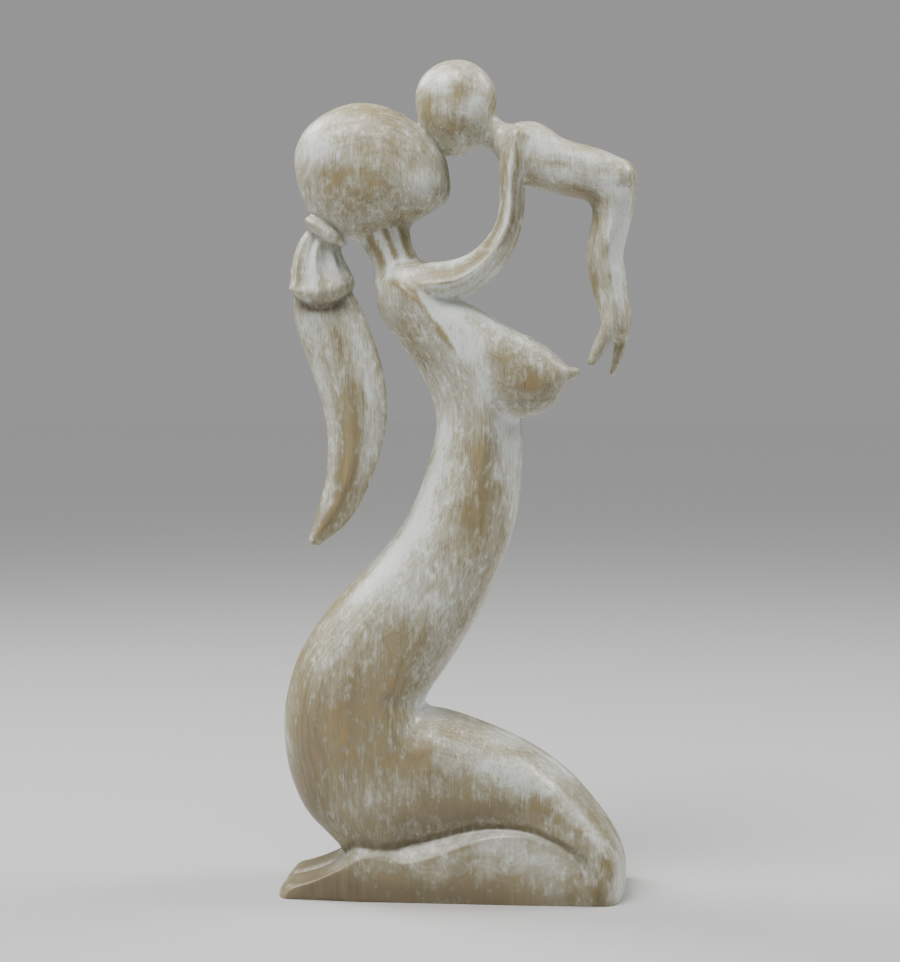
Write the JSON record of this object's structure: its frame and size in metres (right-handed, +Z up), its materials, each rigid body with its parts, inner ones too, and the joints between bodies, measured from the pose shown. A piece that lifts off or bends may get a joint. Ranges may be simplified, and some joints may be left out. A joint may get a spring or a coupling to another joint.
{
  "type": "carved figure sculpture",
  "caption": "Slender carved wooden figure of a kneeling mother lifting her child to her face, whitewashed and rubbed back to the wood.",
  "frame": {"origin": "Middle of the footprint of the figure's box, on the flat underside it stands on", "axes": "+X is the way the mother faces, +Y points away from the side the picture shows, +Z is up"},
  "size_m": [0.214, 0.0802, 0.5],
  "materials": {
    "limewashed_wood": "satin"
  },
  "bodies": {
    "root": {"mother_and_child": "limewashed_wood"}
  },
  "joints": []
}
